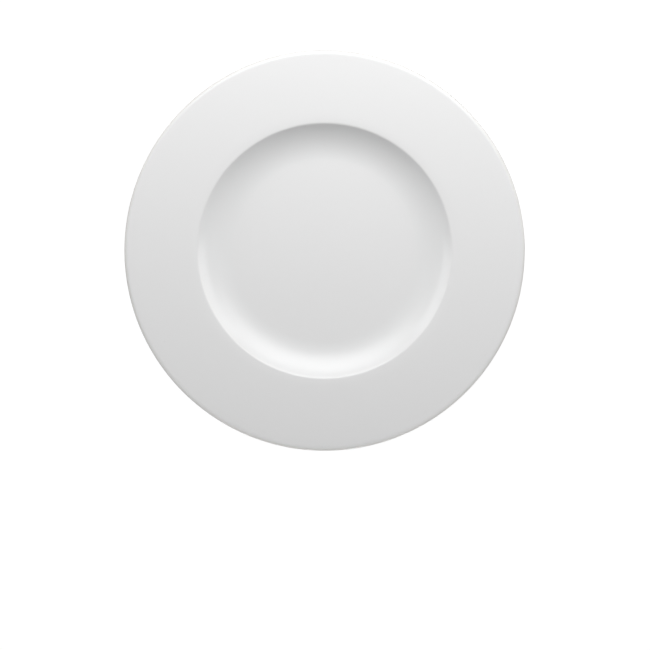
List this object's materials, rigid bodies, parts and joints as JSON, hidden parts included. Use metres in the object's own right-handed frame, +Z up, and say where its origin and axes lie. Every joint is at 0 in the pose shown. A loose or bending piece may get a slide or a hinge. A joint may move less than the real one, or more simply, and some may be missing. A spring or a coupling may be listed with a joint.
{
  "type": "dinner plate",
  "caption": "Round white porcelain dinner plate with a wide, slightly rising rim, a coved round well and a conical foot ring with a bare ground edge.",
  "frame": {"origin": "centre of the circle that the foot ring stands on, at the table's surface", "axes": "+Z up along the plate's axis of revolution, out of the well; +X and +Y are any two square directions, because the plate is round"},
  "size_m": [0.28, 0.28, 0.021],
  "materials": {
    "bare_porcelain": "matte",
    "white_glaze": "gloss",
    "recess_glaze": "gloss"
  },
  "bodies": {
    "root": {"porcelain_body": "bare_porcelain", "glaze_coat": "white_glaze", "glaze_inside_foot": "recess_glaze"}
  },
  "joints": []
}
